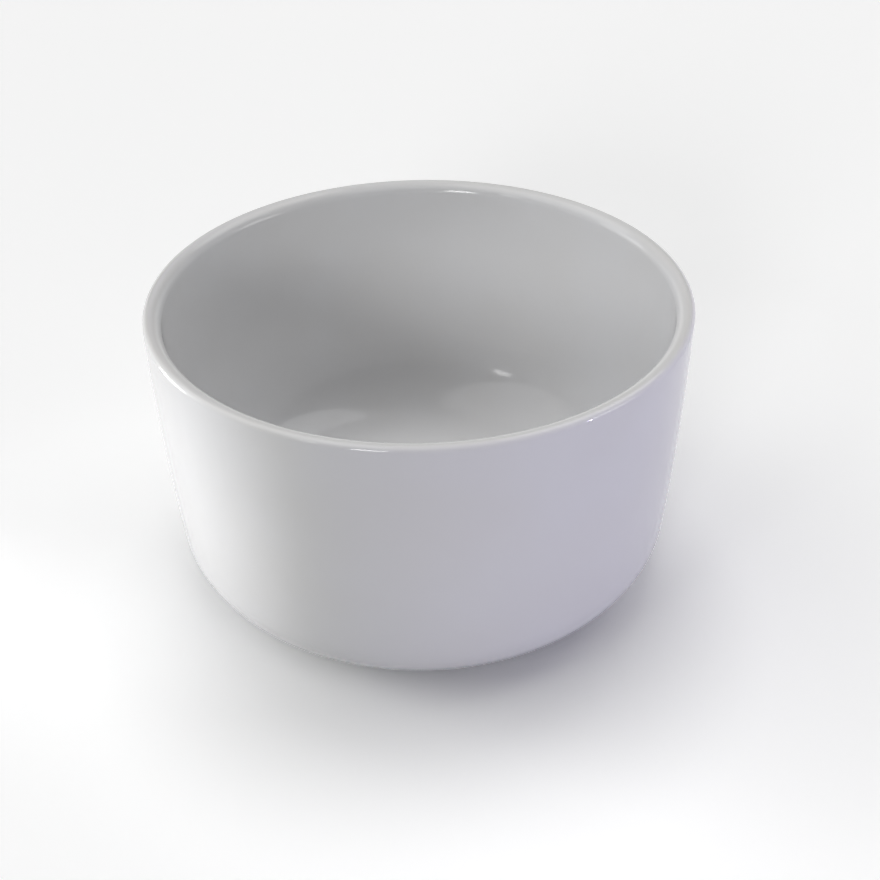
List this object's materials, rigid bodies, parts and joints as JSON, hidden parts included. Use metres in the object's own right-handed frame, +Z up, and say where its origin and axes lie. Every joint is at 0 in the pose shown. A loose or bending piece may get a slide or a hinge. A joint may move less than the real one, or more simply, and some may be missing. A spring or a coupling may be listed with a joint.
{
  "type": "bowl",
  "caption": "Deep round white-glazed porcelain bowl with near-upright walls, a rounded lip and a low foot ring, for serving food.",
  "frame": {"origin": "on the table, under the middle of the foot ring", "axes": "+Z up along the bowl's axis, X and Y level; the bowl is the same all round"},
  "size_m": [0.13, 0.13, 0.075],
  "materials": {
    "bare_clay": "unglazed fired porcelain, fine matt grain",
    "white_glaze": "smooth glossy white glaze"
  },
  "bodies": {
    "root": {"porcelain_body": "bare_clay", "glaze_coat": "white_glaze", "foot_well_glaze": "white_glaze"}
  },
  "joints": []
}
